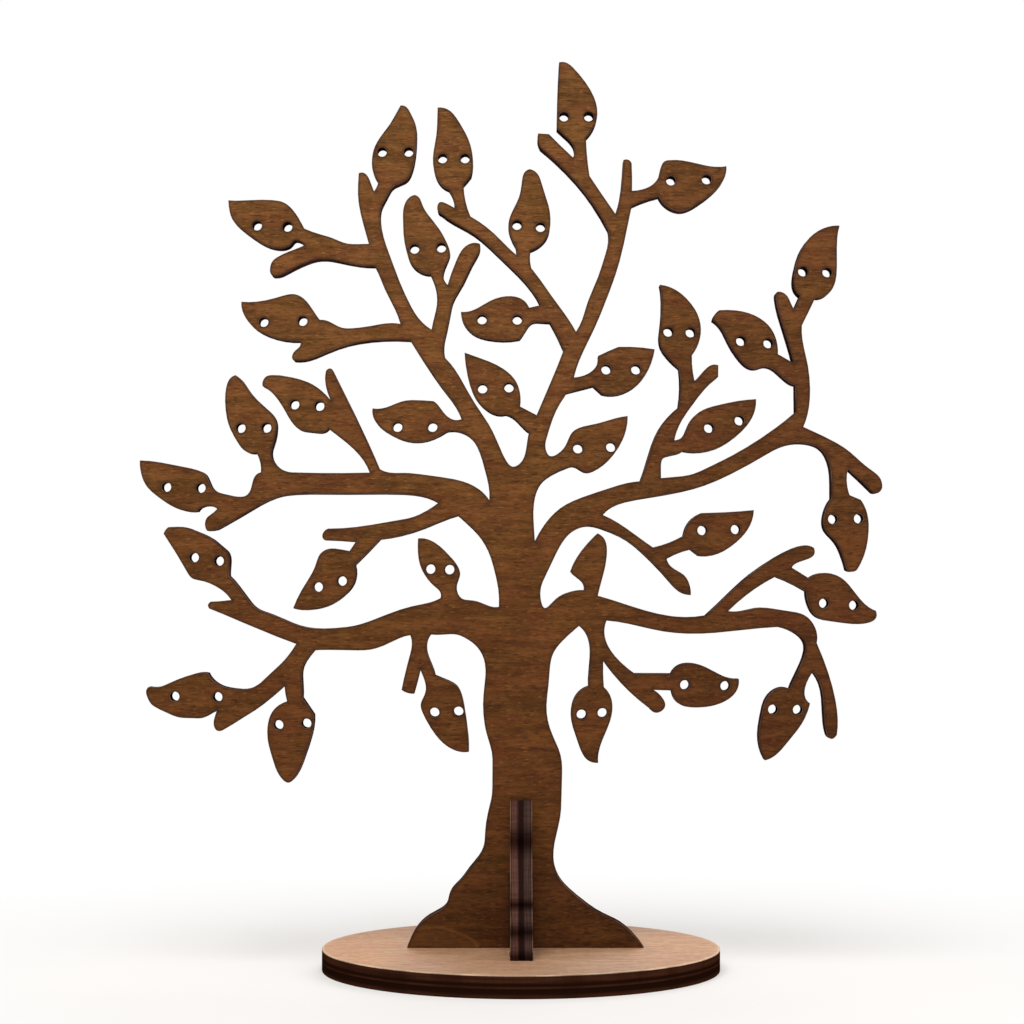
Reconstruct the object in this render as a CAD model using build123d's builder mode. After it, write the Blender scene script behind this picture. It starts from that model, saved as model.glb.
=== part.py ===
from build123d import *
import os

os.makedirs("parts", exist_ok=True)

# Jewelry tree: one flat tree and one crossing root brace, both cut from plywood, that lap
# into each other and stand with tenons in a round base.
# Frame: origin under the middle of the base, X right, Z up, the front faces -Y.

# Sheet and fits, mm.
SHEET_THICKNESS = 6.0
FIT_CLEARANCE = 0.1
TENON_SETBACK = 0.3

# Tree panel, mm.
PANEL_HEIGHT = 240.0
HOLE_DIAMETER = 2.6
PANEL_TENON_LENGTH = 14.0
PANEL_TENON_SPACING = 36.0

# Root brace, mm.
BRACE_HEIGHT = 40.0
BRACE_REACH = 28.0
BRACE_TENON_LENGTH = 12.0
BRACE_TENON_SPACING = 30.0

# Round base, mm.
BASE_DIAMETER = 108.0

# How the photograph sees the panel: the distance to its front face, mm, and the pixels of the
# lens axis, of the middle of the foot and of the row of the highest leaf tip.
PHOTO_DISTANCE = 705.0
LENS_PIXEL = (505, 595)
FOOT_PIXEL = (521, 948)
TOP_ROW_PIXEL = 62

# Share of the brace's height at which the two slots of the cross lap meet.
LAP_SHARE = 0.5

# Root flare of the brace, foot to top: share of its reach, share of its height.
ROOT_SHARES = [
    (1.0, 0.0),
    (0.95, 0.09),
    (0.88, 0.18),
    (0.79, 0.235),
    (0.7, 0.275),
    (0.65, 0.315),
    (0.625, 0.37),
    (0.59, 0.42),
    (0.52, 0.48),
    (0.44, 0.56),
    (0.37, 0.63),
    (0.33, 0.7),
    (0.31, 0.8),
    (0.29, 0.9),
    (0.26, 1.0),
]

# Outline of the tree in pixels of the photograph, clockwise from the left end of the foot.
# Each run is one smooth stretch that starts where the run before it ends; runs meet in corners.
FOOT_START_PIXEL = (407, 948)
OUTLINE_PIXELS = [
    # Left root and left side of the trunk.
    [(412.5, 934), (420.5, 921.5), (431, 913), (441, 907.5), (447, 902), (449.5, 893.5),
     (453, 886.5), (461, 878), (470, 866), (479, 855), (483.5, 846), (485.3, 830), (488, 812),
     (491.5, 797), (492.3, 775), (491.5, 751), (487.5, 737), (483.8, 719), (483, 704),
     (484.5, 685), (485.3, 667), (482, 654.5), (474.5, 644.5), (466, 638.5), (458, 635),
     (446, 634.5), (431, 634.6)],
    # Leaf 1 and the twig beside it, hanging left of the trunk.
    [(428, 641), (427.6, 650.5), (431.5, 662), (435.8, 674.5)],
    [(447, 679.2), (457, 685), (463, 698), (466.5, 718), (469, 740), (468.8, 752)],
    [(459, 751.7), (446, 745.5), (433, 731.5), (424, 716), (420.8, 703.5), (424, 696),
     (425.8, 689), (423.8, 678.5), (420.3, 669.8)],
    [(417.8, 682), (414, 693.8)],
    [(407.5, 693), (401.5, 690)],
    [(404.5, 676), (409, 658), (411.8, 644), (410.2, 635.3)],
    [(399, 638.5), (386, 644.7), (371, 649.6), (352, 650.4), (333, 650), (316, 650)],
    # Leaf 2, hanging from the lowest left limb.
    [(309.5, 658), (304.3, 668), (303.6, 681), (304, 697)],
    [(309, 704.2), (315.5, 714)],
    [(315.2, 724), (311, 742), (304.5, 761), (297, 776), (288.5, 782.8), (280, 776.5),
     (272.5, 759), (267.8, 741), (267.5, 726), (272, 712), (279, 705), (287, 701.7)],
    [(285.3, 694), (284.5, 686)],
    # Leaf 3, the lowest on the left, with its twig end.
    [(272, 697.7), (258, 708.5), (243, 718), (229, 726.7), (221.5, 730.8)],
    [(216, 730), (213.6, 724.5), (214.6, 717), (216.5, 711)],
    [(211, 714.3), (204, 717.6), (192, 718.3), (178, 717.3), (168, 713.5), (158, 708.8),
     (151, 704), (147.3, 697.5), (146, 691), (148.3, 687)],
    [(160, 686.5), (175, 680.5), (191, 674.7), (202, 672), (210, 672.4)],
    [(215.5, 680), (224, 685.3), (236, 688), (248, 688.5), (258, 684.5), (270, 673.7),
     (282, 662.5), (290, 653), (296, 644)],
    # Leaf 4 and its twig end, then the top of the lowest left limb.
    [(280, 638), (262, 630.7), (240, 621.5), (222, 613.8), (209.5, 608.8)],
    [(207.8, 605.5), (210.5, 601.6)],
    [(220, 601.1), (231, 599.9)],
    [(224.5, 592.4), (213, 585), (202, 581), (192, 578.3), (186.5, 571.5), (180, 560),
     (171, 545.5), (163.5, 533.8)],
    [(165.3, 530), (168.5, 527)],
    [(177, 526.7), (186, 527.3), (196, 530.5), (208, 535.5), (217, 541), (224, 547),
     (229.5, 552), (231.7, 558), (231.6, 567), (231.3, 576)],
    [(242, 588.5), (250.5, 600), (258, 607.8), (271, 613.3), (287, 620), (302, 625.7),
     (319, 628.3), (337, 627.8), (356, 625.3), (376, 618.7), (397, 610.6), (416, 605.3),
     (430, 602.3), (440.5, 598)],
    # Leaf 5, upright on the lowest left limb.
    [(440, 592), (434, 586), (426, 577), (420.5, 566.5), (417.8, 552), (418, 538.3)],
    [(428, 539.3), (437, 544), (449, 555), (458, 566.5), (460.2, 574), (457.5, 583.5),
     (457.2, 591), (462, 598.4), (473, 600.4), (484, 603.8), (491, 606.4), (498.8, 606.8)],
    [(498.3, 590), (494.5, 571), (488, 551), (479.5, 537), (469, 526), (458.5, 516.5)],
    # Leaf 6 and the twig above it, on the lower fork of the middle left limb.
    [(446, 520.6), (433, 526), (418, 531.8), (400, 536.9), (381.3, 540)],
    [(370, 552), (356.5, 565.5)],
    [(357.4, 575), (355, 584.5), (346, 595.5), (331, 605.5), (313, 610), (300, 610), (293, 608.3)],
    [(304, 586), (315.5, 565), (320, 554), (327, 549.2), (338, 548.8), (349.5, 550.9)],
    [(355.5, 542)],
    [(340, 541.2), (326, 540.6)],
    [(322.2, 536.5), (324.5, 530.8), (330.5, 528.5)],
    [(350, 527.5), (372, 524.6), (395, 520.6), (412, 517.2), (426, 511), (438, 503)],
    # Underside of the middle left limb and its twig end.
    [(430, 499.5), (417, 496.3), (400, 495), (345, 495), (298, 495.2), (283, 497), (268, 502.5),
     (250, 512.7), (233, 522.7), (219.5, 530.2)],
    [(213, 531.3), (207, 530.8)],
    [(204.9, 525), (206.3, 518.5), (211.5, 513.8), (217, 508.7)],
    # Leaf 7, farthest left.
    [(210, 506.6), (204, 508), (199.8, 512.2)],
    [(187, 511.7), (173, 506.8), (158, 497), (146, 485.5), (141, 473.5), (139.7, 460.3)],
    [(156, 461.6), (177, 465.5), (197, 469.9), (207, 474.7), (211, 482), (215.5, 490),
     (226, 494.3), (238, 496.6), (246, 495.4), (250.3, 490), (253, 480), (258, 473.2)],
    # Leaf 8, upright on the middle left limb.
    [(260.8, 472.2)],
    [(260.3, 463), (256.5, 453.2)],
    [(244.5, 450.7), (236, 440), (228.5, 424.5), (225.2, 406), (226, 388), (229.8, 378.6),
     (235.5, 375)],
    [(241.5, 379.5), (250, 391), (260, 402.5), (271, 412.3), (277.3, 421), (278.2, 433),
     (275.7, 444.5), (273.3, 453), (276, 463.5), (282, 469.4), (294, 472.3)],
    [(330, 473), (369.5, 472.5)],
    # Leaf 9 and the twig that carries it.
    [(365, 463), (355, 450.5), (343, 440), (330, 430)],
    [(326, 433.2), (313, 433.3), (301, 430.8), (293.5, 424.5), (285, 411), (277, 398.5),
     (269.5, 390.7), (262.5, 386)],
    [(263, 380.5), (266.5, 376.2), (272, 375), (280, 375.2)],
    [(296, 378.2), (311, 383.5), (322, 391), (330.3, 400)],
    [(326.2, 388), (325, 379), (326, 370.7)],
    [(330, 368.3), (333.5, 371)],
    [(348, 400), (363.5, 432), (380.3, 469.8)],
    # Top of the middle left limb, then up the inner edge of the upper left limb.
    [(388, 472.2), (405, 472.8), (428, 475.2), (452, 478.7), (470, 484), (480.5, 490.3),
     (489.3, 500)],
    [(489, 489), (485, 470.5), (479.5, 452.5), (473, 441), (465.5, 435.4), (447.5, 433)],
    # Leaf 10, left of the upper left limb.
    [(439, 438), (424, 443), (408, 442.5), (391, 435.5), (379.5, 427), (374, 419), (372.5, 408.3)],
    [(389, 406.3), (403, 401), (418, 400), (433.5, 401)],
    [(439, 406), (445, 414), (450.5, 418.4), (461.5, 419)],
    [(456, 408), (443, 390.5), (428, 369), (411.2, 342.4)],
    # Leaf 11 and its twig end.
    [(393, 341.8), (370, 343.2), (349, 347), (329, 354), (313, 360.6), (303, 362.7), (296, 362.6)],
    [(292.4, 359), (293.6, 352.3), (299, 347.2), (302, 343.3)],
    [(288, 342.7), (272, 338.8), (256, 330), (246, 318.5), (241.8, 309), (241.3, 301.6)],
    [(257, 301.5), (273, 298.5), (286, 294.8), (294, 294), (302, 297.2), (311, 307), (319.8, 319.7)],
    [(330, 321.8), (341, 327.3), (354, 328), (370, 326), (384, 323.5), (400.3, 323.8)],
    [(393, 305.5), (384, 287.5), (378.5, 274), (375.8, 268.7)],
    # Leaf 12 and its twig end.
    [(359, 267.6), (345, 265), (331, 262.2), (318, 262.4), (306, 266.3), (292, 273), (281, 278.2),
     (275, 278.6)],
    [(271, 274.3), (270, 268), (272, 261.7), (279, 256), (290, 251), (304.3, 245)],
    [(300, 243.6), (296.5, 243.4), (293, 247), (288.5, 250.2), (280, 251.3), (269, 248.7),
     (255, 240.7), (241, 229.8), (233, 220.5), (229, 208.5), (228.2, 200.2)],
    [(250, 200), (272, 199.9), (284, 202.5), (293, 210), (299.5, 219.5), (304, 228.3)],
    [(318, 233.6), (333, 238.2), (346, 243.2), (355, 244), (368.7, 243.7)],
    # Twig end and leaf 13 at the tip of the upper left limb.
    [(364, 227), (360, 211), (358, 197), (358, 184), (358.7, 173)],
    [(364.5, 173), (369.5, 179.5), (374.2, 191)],
    [(376.8, 186.5), (378.4, 181.5)],
    [(373.5, 173), (371.8, 162), (373.5, 150), (380, 137.2), (389.5, 124.5), (396, 113.5),
     (400.5, 105.3)],
    [(405.5, 106.3), (411, 113.8), (416, 126), (417.4, 140), (416, 160), (412.5, 175), (408, 182.7),
     (400, 187), (393.5, 190.6), (388, 199.5), (382.3, 211), (381.2, 222), (384.5, 240),
     (391, 258.5), (400, 282.5), (409, 302.3), (417, 316), (431.5, 329.4)],
    # Leaf 14 and the twig beside it.
    [(434, 318), (437, 303), (436.3, 291.5), (431, 277)],
    [(421, 274.7), (412.5, 267.5), (407.5, 255), (403.8, 238), (403, 221), (404.3, 205),
     (409, 197.5), (415, 194.8)],
    [(418.5, 196.8), (423, 206), (431, 218.2), (440, 230), (447.5, 244), (450.4, 255.5),
     (447, 266.5), (444, 275.5), (447.6, 284.8)],
    [(451, 274), (456.5, 260), (464, 247.5), (472, 243), (480, 243.8)],
    [(480.5, 250), (474, 265), (463.5, 286.5), (453.5, 304.5), (451, 315), (448, 330.5),
     (444.8, 345), (445.3, 358)],
    [(454, 368), (466, 388), (478, 408), (490, 426.3), (499, 445.5), (505.5, 459.3), (513, 466.6),
     (520, 463.2), (525.5, 452), (528.7, 434)],
    # Leaf 15, between the two upper limbs.
    [(519, 425), (511, 418.2), (505.5, 416.3)],
    [(497, 416.5), (486, 411), (475.5, 399), (469.5, 384), (466, 367.5), (464.6, 352.5)],
    [(480, 358), (495, 364), (508, 372.2), (516, 381.3), (519.7, 391), (520.2, 406.5)],
    [(528, 410.5), (536.6, 415)],
    [(544.5, 396.5), (554, 374.2), (563, 352.3)],
    [(557, 339), (549.3, 324.7)],
    # Leaf 16, above it.
    [(540, 324.1), (532, 325), (526.5, 331), (519.5, 341.3)],
    [(507, 342.8), (490, 341.7), (475, 337), (465, 327.2), (460.9, 311.7)],
    [(475, 309.2), (490, 300.8), (505, 296.2), (520, 298), (529.2, 307.6)],
    [(540, 307.5)],
    # Lower edge of the leaning limb, up to its twig end.
    [(531, 292.5), (517, 276.5), (500, 260), (484, 245), (473, 236.5), (456, 227), (442, 217.5)],
    [(437.3, 209), (439.5, 202.2), (446, 203.2), (454.3, 207.7)],
    # Leaf 17.
    [(452.8, 199.5), (449, 192.7)],
    [(440, 186.3), (434.3, 172.5), (432.9, 157), (436, 137), (437.2, 121), (437.6, 107.4)],
    [(449, 110), (459.5, 122.5), (469, 140.5), (473, 160), (471.5, 179)],
    [(468, 183.5), (463.8, 188.2)],
    [(465.5, 201), (470.4, 216.3)],
    [(480, 222.2), (494, 233.3), (506, 245.3), (516.7, 255)],
    # Leaf 18.
    [(515.5, 249.5)],
    [(510.3, 239), (508.3, 226), (512, 211.8), (519, 197), (521.8, 182), (524.5, 172.3),
     (530, 169)],
    [(536.5, 172.5), (543, 187.8), (549, 207), (550.5, 223), (546.5, 241), (538.5, 249.3),
     (530.3, 253.3)],
    [(530, 260), (531.3, 268)],
    [(542, 282), (552.5, 297), (566, 315.5), (576, 331.6)],
    # Left edge of the highest limb, up to its twig end.
    [(581, 322.5), (587.5, 302.5), (597, 279.5), (604.5, 257), (608, 241), (607.2, 233)],
    [(597, 215), (584, 196), (569, 178.5), (554, 163.7), (540, 151.7)],
    [(537.2, 143), (538.2, 133.3)],
    [(549, 134)],
    [(560, 145), (573, 157.3)],
    # Leaf 19, the highest.
    [(572.5, 149.5), (565, 140.3), (556.4, 132.5)],
    [(557, 103), (559.1, 62.2)],
    [(564.5, 62), (576, 70.4), (587.5, 85), (596, 102.5), (597, 118), (592.5, 132.5), (585.3, 141.6)],
    [(587, 155), (589.6, 175.8)],
    [(603, 195.8), (615.3, 213.5)],
    # Twig end and leaf 20 at the right of the highest limb.
    [(619.5, 197), (621.8, 174), (623.5, 159.8)],
    [(628, 159.5), (631.7, 163)],
    [(632.2, 177), (632.1, 190.7)],
    [(644, 188.8), (655, 182.3), (660, 172), (662.5, 163.3), (670, 160)],
    [(688, 161.3), (706, 165.4), (726.5, 166)],
    [(724.5, 178), (714, 193.5), (697, 207), (679, 214.3), (666, 209.7), (657.5, 199.5)],
    [(643, 203.8), (630.8, 209)],
    [(626, 234), (618.5, 265.5), (607.5, 297), (594, 329.5), (580, 359), (574, 377.4)],
    # Leaf 21.
    [(585, 375), (592.5, 370.5), (598.2, 355.8)],
    [(609, 350.7), (618.5, 346.8)],
    [(636, 347), (654.8, 349.2)],
    [(650, 366.5), (639, 383.8), (622, 395), (601, 395.8)],
    [(592.5, 388)],
    [(579, 391.4), (566, 394.8)],
    [(556, 411.3), (547.8, 434), (546, 450), (549.5, 455.7), (560, 452), (566.5, 443.5),
     (572.5, 432), (582, 426.8), (598, 423.2), (613, 418.8), (627.8, 415.9)],
    # Leaf 22, right of the trunk.
    [(625, 434), (613, 455.5), (596, 470.3), (584, 473.2), (575, 468.3), (568, 468.4)],
    [(553, 475), (541, 484.3), (535, 498), (533.5, 518), (534.9, 540.8)],
    # Top of the middle right limb.
    [(545, 523.8), (560, 508.3), (581, 497.7), (606, 489.2), (626, 483.2), (639, 482.1)],
    # Leaf 23 and the twig below it, on the first upright of the middle right limb.
    [(647, 457.5), (659, 428), (668, 416.7), (677, 408.7)],
    [(678.7, 393), (677.7, 370.5)],
    [(667, 360.5), (658.7, 347), (659.2, 327), (660.4, 306), (659.9, 284.6)],
    [(675, 289.3), (689, 301), (698, 315), (701, 331), (698, 345), (692, 355.3)],
    [(692.8, 371), (694.6, 380.6)],
    [(704, 370.5), (712, 364.8), (718.4, 365.2)],
    [(718.3, 376.8)],
    [(706, 388), (691, 407), (680, 424), (674.5, 440.2)],
    # Leaf 24, low on the same upright.
    [(681, 438), (688, 424), (700, 411.5), (720, 404.5), (738, 400.8), (756.2, 399)],
    [(751.5, 419), (738.5, 434.5), (720, 447.5), (700, 453.3), (681.5, 452.3)],
    [(671, 456.2), (663, 458.6), (661, 468), (661.1, 478)],
    [(676, 476.8), (691, 474.5), (708, 467.4), (730, 456.5), (760, 438.7), (780, 424.5),
     (793.4, 413.6)],
    # Leaf 25, left of the far upright.
    [(793.1, 386.9)],
    [(778, 376.7), (766.5, 369), (758, 369.8)],
    [(749, 370.3), (737, 360.5), (727, 345), (719.5, 330.5), (711, 322.4)],
    [(714, 315.5), (719.5, 310.1)],
    [(737, 310.4), (757, 316.4), (770.5, 327.5), (777, 342), (778, 354)],
    [(791, 364.8)],
    [(786, 346), (777.5, 318.5), (773.9, 302), (777, 292), (784, 293), (790.5, 302), (794, 309.4)],
    # Leaf 26, the tip of the far upright.
    [(797.6, 298.4)],
    [(792.3, 291.5), (792.4, 273), (799, 252), (811, 236.2), (825, 227.6), (839.7, 225.5)],
    [(837, 246), (837, 269), (833, 288), (824, 297.7), (812.8, 300.3)],
    [(809, 311.3), (802, 325.3)],
    [(803, 342.5), (807.5, 363), (810.2, 390), (808, 413), (803.5, 426.8)],
    # Twig end and leaf 27 at the end of the middle right limb.
    [(825, 436.8), (849, 451), (868, 467.5), (880, 477.7), (882.3, 488)],
    [(878, 493), (870, 493.7)],
    [(858, 482), (845.1, 470)],
    [(847, 483), (849.7, 495)],
    [(861, 499.8)],
    [(867.5, 514), (868.5, 535), (863.5, 557.5), (857, 570)],
    [(850, 572), (844, 570.5)],
    [(840, 557), (832, 541.7), (822.5, 530.5), (822, 514), (829, 499.4)],
    [(829, 487), (826.5, 464), (817.5, 449.7), (806, 445.3), (782, 447), (762, 457.2), (735, 472.2),
     (703, 486.3), (668, 495), (634, 500.7), (613, 507), (603, 514.9)],
    # Twig end and leaf 28 on the fork below the middle right limb.
    [(618, 522.7), (636, 535.2), (653, 547.3)],
    [(669, 542.5), (682, 536.3)],
    [(689, 520.7), (701, 513)],
    [(727, 512.1), (754, 510)],
    [(748.5, 528.5), (734, 544.3), (714, 555.2), (697, 556)],
    [(689.2, 550)],
    [(678, 553.5), (666.8, 558.9)],
    [(673, 568), (684.5, 575.5), (690, 586), (690.9, 595.1)],
    [(682, 593.5), (666, 579), (645, 557), (625, 540.5), (604, 530.8), (585, 527), (571, 532.8),
     (558, 550), (546, 575), (540.4, 594), (545, 608), (555, 599.5), (568, 592.3), (583.5, 590)],
    # Small blank leaf on the lowest right limb.
    [(582, 583), (575, 576.8), (570, 571.5)],
    [(577, 557), (588, 542.7), (597.6, 533.3)],
    [(605, 540), (607, 553), (603, 576), (598, 595.7)],
    [(624, 603.7), (648, 611.2), (672, 616.1), (704, 615.4)],
    # Twig end and leaf 29 on the lowest right limb.
    [(722, 598.5), (744, 578), (769, 560.3), (792, 548.2), (806, 545.2), (814, 547.7)],
    [(814, 555), (804, 560.5), (792, 567.6)],
    [(809.2, 578.3)],
    [(825, 572.8), (841, 577.6), (858, 596.3), (876, 610.8)],
    [(876.5, 617.2), (858, 624.2), (834, 621.8), (813, 616), (806, 604.5), (803.8, 591.6)],
    [(790, 584), (775.5, 576.7)],
    [(752, 591), (728.5, 611)],
    [(741, 610.7), (756, 607.6), (784, 610.4), (806, 616), (815, 627), (816.8, 643)],
    # Twig end and leaf 30 at the end of the lowest right limb.
    [(825, 663), (834, 692.7), (837.8, 717), (837, 735)],
    [(831, 739), (824.5, 734)],
    [(821.5, 712), (818.8, 687), (812.7, 672)],
    [(805.5, 686.7), (805, 696), (810.2, 703.5)],
    [(803, 722), (788, 742), (771, 758.3), (763, 759)],
    [(756.8, 737), (759.5, 714), (766, 695.3), (778, 687), (787.7, 688)],
    [(799.5, 662), (802, 642.5), (791, 632), (777, 627.1)],
    [(740, 630.4), (698, 633.8), (662, 631.3), (630, 624.2), (606.6, 620.7)],
    # Leaf 31 and its twig end, under the lowest right limb.
    [(605, 637), (615, 656), (633.5, 672.8)],
    [(669.8, 673)],
    [(678, 664.5), (700, 664.8), (720, 674.7), (739, 679)],
    [(736, 692), (716, 705), (697, 707.6), (680, 704.4), (671.7, 690.6)],
    [(653.5, 690)],
    [(663, 698.5), (665.3, 706), (660, 712), (650, 709)],
    [(626, 688.5), (603.3, 661)],
    # Leaf 32, hanging right of the trunk.
    [(603.3, 676), (604, 687)],
    [(612, 701), (610.8, 719), (602.5, 740), (598.2, 763)],
    [(587, 759.7), (577, 740), (570.8, 718), (575, 695.3), (587.8, 685.5)],
    [(589.5, 656), (586.5, 635.5), (579, 626)],
    # Right side of the trunk and right root.
    [(565, 638.5), (553.5, 653), (549, 681), (546.6, 710), (552.5, 735), (560.5, 754.5), (561.8, 785),
     (560.3, 817), (555, 841), (553.5, 858), (560, 877.5), (571, 889.5), (585, 901), (600, 911),
     (619, 920.5), (634, 933.5), (644, 948)],
]

# Centres of the two hanging holes of each leaf, in pixels of the photograph.
HOLE_PIXELS = {
    "leaf_1": [(434.5, 712.5), (458.5, 711.5)],
    "leaf_2": [(278.5, 725), (306.5, 723.5)],
    "leaf_3": [(174.5, 696.5), (217.5, 697)],
    "leaf_4": [(194, 557.5), (219, 561)],
    "leaf_5": [(430.5, 569), (449.5, 569.5)],
    "leaf_6": [(318, 587), (342, 581)],
    "leaf_7": [(166.3, 487), (200.7, 488)],
    "leaf_8": [(240.7, 428), (266.5, 427.8)],
    "leaf_9": [(294.5, 404.5), (319.5, 406)],
    "leaf_10": [(397.5, 427), (432.5, 427)],
    "leaf_11": [(263.5, 322), (302.5, 321)],
    "leaf_12": [(257, 225.5), (287.5, 226.8)],
    "leaf_13": [(382, 151.8), (408.5, 151.8)],
    "leaf_14": [(414.5, 248.8), (441.3, 247.6)],
    "leaf_15": [(482.5, 388.5), (509, 387.5)],
    "leaf_16": [(482, 319.4), (517.3, 319.7)],
    "leaf_17": [(442.5, 158.3), (465, 158.3)],
    "leaf_18": [(517, 225), (540.5, 227)],
    "leaf_19": [(564, 116.5), (588.7, 116.5)],
    "leaf_20": [(671, 180.5), (706.7, 179.3)],
    "leaf_21": [(606.2, 369.5), (636, 369.5)],
    "leaf_22": [(578, 448.5), (611, 447)],
    "leaf_23": [(668.3, 331.8), (690.5, 332.5)],
    "leaf_24": [(709, 428), (739.5, 420.5)],
    "leaf_25": [(741, 341), (768.3, 343.3)],
    "leaf_26": [(803, 271.5), (827.3, 272.3)],
    "leaf_27": [(833, 519.1), (858.8, 518.6)],
    "leaf_28": [(702.3, 530.3), (735.7, 529.3)],
    "leaf_29": [(824, 603.3), (854, 605.3)],
    "leaf_30": [(773, 709.5), (797.8, 709.8)],
    "leaf_31": [(685, 685), (725.3, 686)],
    "leaf_32": [(581.5, 714.5), (602.5, 713)],
}

half_sheet = SHEET_THICKNESS / 2
slot_width = SHEET_THICKNESS + 2 * FIT_CLEARANCE
base_top = SHEET_THICKNESS
tenon_height = SHEET_THICKNESS - TENON_SETBACK
lap_height = base_top + LAP_SHARE * BRACE_HEIGHT
mm_per_pixel = PANEL_HEIGHT / (FOOT_PIXEL[1] - TOP_ROW_PIXEL)


def on_panel(pixel, depth):
    """Place on the panel, across and up in mm, of a pixel seen at a depth behind its front face.

    Depth pulls what is seen towards the lens axis, so the place is stretched away from it.
    """
    stretch = (1 + depth / PHOTO_DISTANCE) * mm_per_pixel
    across = (LENS_PIXEL[0] - FOOT_PIXEL[0]) * mm_per_pixel + (pixel[0] - LENS_PIXEL[0]) * stretch
    up = base_top + (FOOT_PIXEL[1] - LENS_PIXEL[1]) * mm_per_pixel - (pixel[1] - LENS_PIXEL[1]) * stretch
    return (across, up)


def panel_runs():
    """Runs of the outline as places on the panel, each with the point that it starts from.

    An edge that faces the lens axis is seen at the back of the sheet, any other at its front.
    """
    pixels = [FOOT_START_PIXEL] + [pixel for run in OUTLINE_PIXELS for pixel in run]
    places = []
    for index, pixel in enumerate(pixels):
        before = pixels[index - 1]
        after = pixels[(index + 1) % len(pixels)]
        facing = (after[1] - before[1]) * (LENS_PIXEL[0] - pixel[0])
        facing = facing - (after[0] - before[0]) * (LENS_PIXEL[1] - pixel[1])
        places.append(on_panel(pixel, SHEET_THICKNESS if facing > 0 else 0))
    runs = []
    start = 0
    for run in OUTLINE_PIXELS:
        runs.append(places[start:start + len(run) + 1])
        start = start + len(run)
    return runs


# Tree panel: the outline, two tenons under the foot and the lap slot open at the bottom.
outline_runs = panel_runs()
hole_places = [on_panel(pixel, 0) for pair in HOLE_PIXELS.values() for pixel in pair]
with BuildPart() as tree_panel:
    with BuildSketch(Plane.XZ):
        with BuildLine():
            for run in outline_runs:
                if len(run) == 2:
                    Line(*run)
                else:
                    Spline(*run)
            Line(outline_runs[-1][-1], outline_runs[0][0])
        make_face()
        with Locations((0, base_top)):
            with GridLocations(PANEL_TENON_SPACING, 0, 2, 1):
                Rectangle(PANEL_TENON_LENGTH, tenon_height, align=(Align.CENTER, Align.MAX))
            Rectangle(slot_width, lap_height - base_top, align=(Align.CENTER, Align.MIN), mode=Mode.SUBTRACT)
        with Locations(hole_places):
            Circle(HOLE_DIAMETER / 2, mode=Mode.SUBTRACT)
    extrude(amount=half_sheet, both=True)
tree_panel.part.label = "tree_panel"
export_step(tree_panel.part, "parts/tree_panel.step")

# Root brace: a root flare to the front and to the back, two tenons, and the lap slot open at the top.
flare = [(reach * BRACE_REACH, base_top + height * BRACE_HEIGHT) for reach, height in ROOT_SHARES]
with BuildPart() as root_brace:
    with BuildSketch(Plane.YZ):
        with BuildLine():
            Spline(*flare)
            Line(flare[-1], (0, base_top + BRACE_HEIGHT))
            Line((0, base_top + BRACE_HEIGHT), (0, base_top))
            Line((0, base_top), flare[0])
        make_face()
        mirror(about=Plane.YZ)
        with Locations((0, base_top)):
            with GridLocations(BRACE_TENON_SPACING, 0, 2, 1):
                Rectangle(BRACE_TENON_LENGTH, tenon_height, align=(Align.CENTER, Align.MAX))
        with Locations((0, lap_height)):
            Rectangle(slot_width, BRACE_HEIGHT, align=(Align.CENTER, Align.MIN), mode=Mode.SUBTRACT)
    extrude(amount=half_sheet, both=True)
root_brace.part.label = "root_brace"
export_step(root_brace.part, "parts/root_brace.step")

# Round base: a disc with a mortise for each of the four tenons.
with BuildPart() as round_base:
    with BuildSketch():
        Circle(BASE_DIAMETER / 2)
        with GridLocations(PANEL_TENON_SPACING, 0, 2, 1):
            Rectangle(PANEL_TENON_LENGTH + 2 * FIT_CLEARANCE, slot_width, mode=Mode.SUBTRACT)
        with GridLocations(0, BRACE_TENON_SPACING, 1, 2):
            Rectangle(slot_width, BRACE_TENON_LENGTH + 2 * FIT_CLEARANCE, mode=Mode.SUBTRACT)
    extrude(amount=base_top)
round_base.part.label = "round_base"
export_step(round_base.part, "parts/round_base.step")
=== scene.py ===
import math

import bmesh
import bpy
import numpy as np
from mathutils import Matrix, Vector
from mathutils.geometry import delaunay_2d_cdt


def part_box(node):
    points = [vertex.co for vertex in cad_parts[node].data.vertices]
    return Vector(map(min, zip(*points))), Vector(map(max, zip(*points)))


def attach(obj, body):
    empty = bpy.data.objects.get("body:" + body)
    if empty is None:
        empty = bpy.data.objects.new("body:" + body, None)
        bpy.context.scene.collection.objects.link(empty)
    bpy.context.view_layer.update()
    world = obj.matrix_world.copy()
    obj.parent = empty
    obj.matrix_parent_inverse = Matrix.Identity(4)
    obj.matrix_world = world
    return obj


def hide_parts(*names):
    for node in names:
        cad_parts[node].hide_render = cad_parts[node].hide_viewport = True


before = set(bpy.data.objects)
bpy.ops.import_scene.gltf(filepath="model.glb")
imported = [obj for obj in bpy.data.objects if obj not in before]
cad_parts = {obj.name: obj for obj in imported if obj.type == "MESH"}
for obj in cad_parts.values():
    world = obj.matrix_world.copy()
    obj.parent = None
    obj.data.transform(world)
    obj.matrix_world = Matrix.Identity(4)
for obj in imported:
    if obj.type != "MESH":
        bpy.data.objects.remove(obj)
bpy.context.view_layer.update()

bl_info = {
    "name": "Jewelry Tree",
    "version": (1, 0, 0),
    "blender": (4, 5, 0),
    "location": "3D View > Sidebar > Jewelry Tree",
    "description": "Dresses a cross-lapped plywood jewelry tree with stained faces and charred cut edges",
    "category": "Object",
}

MM = 0.001

WHITE = (1.0, 1.0, 1.0, 1.0)

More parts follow.
